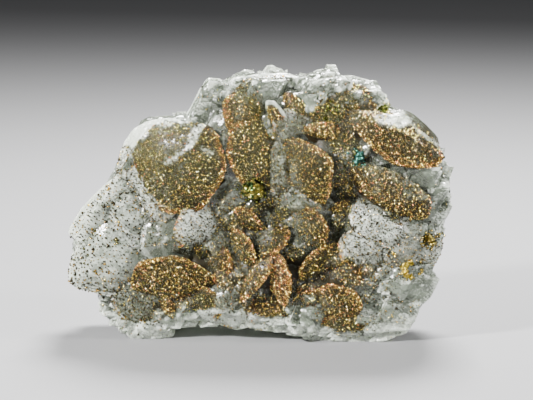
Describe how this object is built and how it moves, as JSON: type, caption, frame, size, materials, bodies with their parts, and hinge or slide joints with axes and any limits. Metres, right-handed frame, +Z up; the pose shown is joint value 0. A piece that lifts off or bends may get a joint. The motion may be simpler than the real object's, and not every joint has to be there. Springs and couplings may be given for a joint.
{
  "type": "calcite with chalcopyrite specimen",
  "caption": "Free-standing plate of lens-shaped calcite crystals, white and glassy, dusted with fine golden brown chalcopyrite and carrying a few coarser metallic groups.",
  "frame": {"origin": "on the surface it stands on, under the middle of the specimen", "axes": "+X along its width, to the right of the crystal face; +Y towards its broken back; +Z up"},
  "size_m": [0.0958, 0.0351, 0.0679],
  "materials": {
    "calcite": "glassy, translucent",
    "chalcopyrite": "metallic, tarnished"
  },
  "bodies": {
    "root": {"calcite_plate": "calcite", "chalcopyrite_cluster": "chalcopyrite", "chalcopyrite_on_top_edge": "chalcopyrite", "chalcopyrite_between_blades": "chalcopyrite", "chalcopyrite_ring": "chalcopyrite", "chalcopyrite_right_pair": "chalcopyrite"}
  },
  "joints": []
}
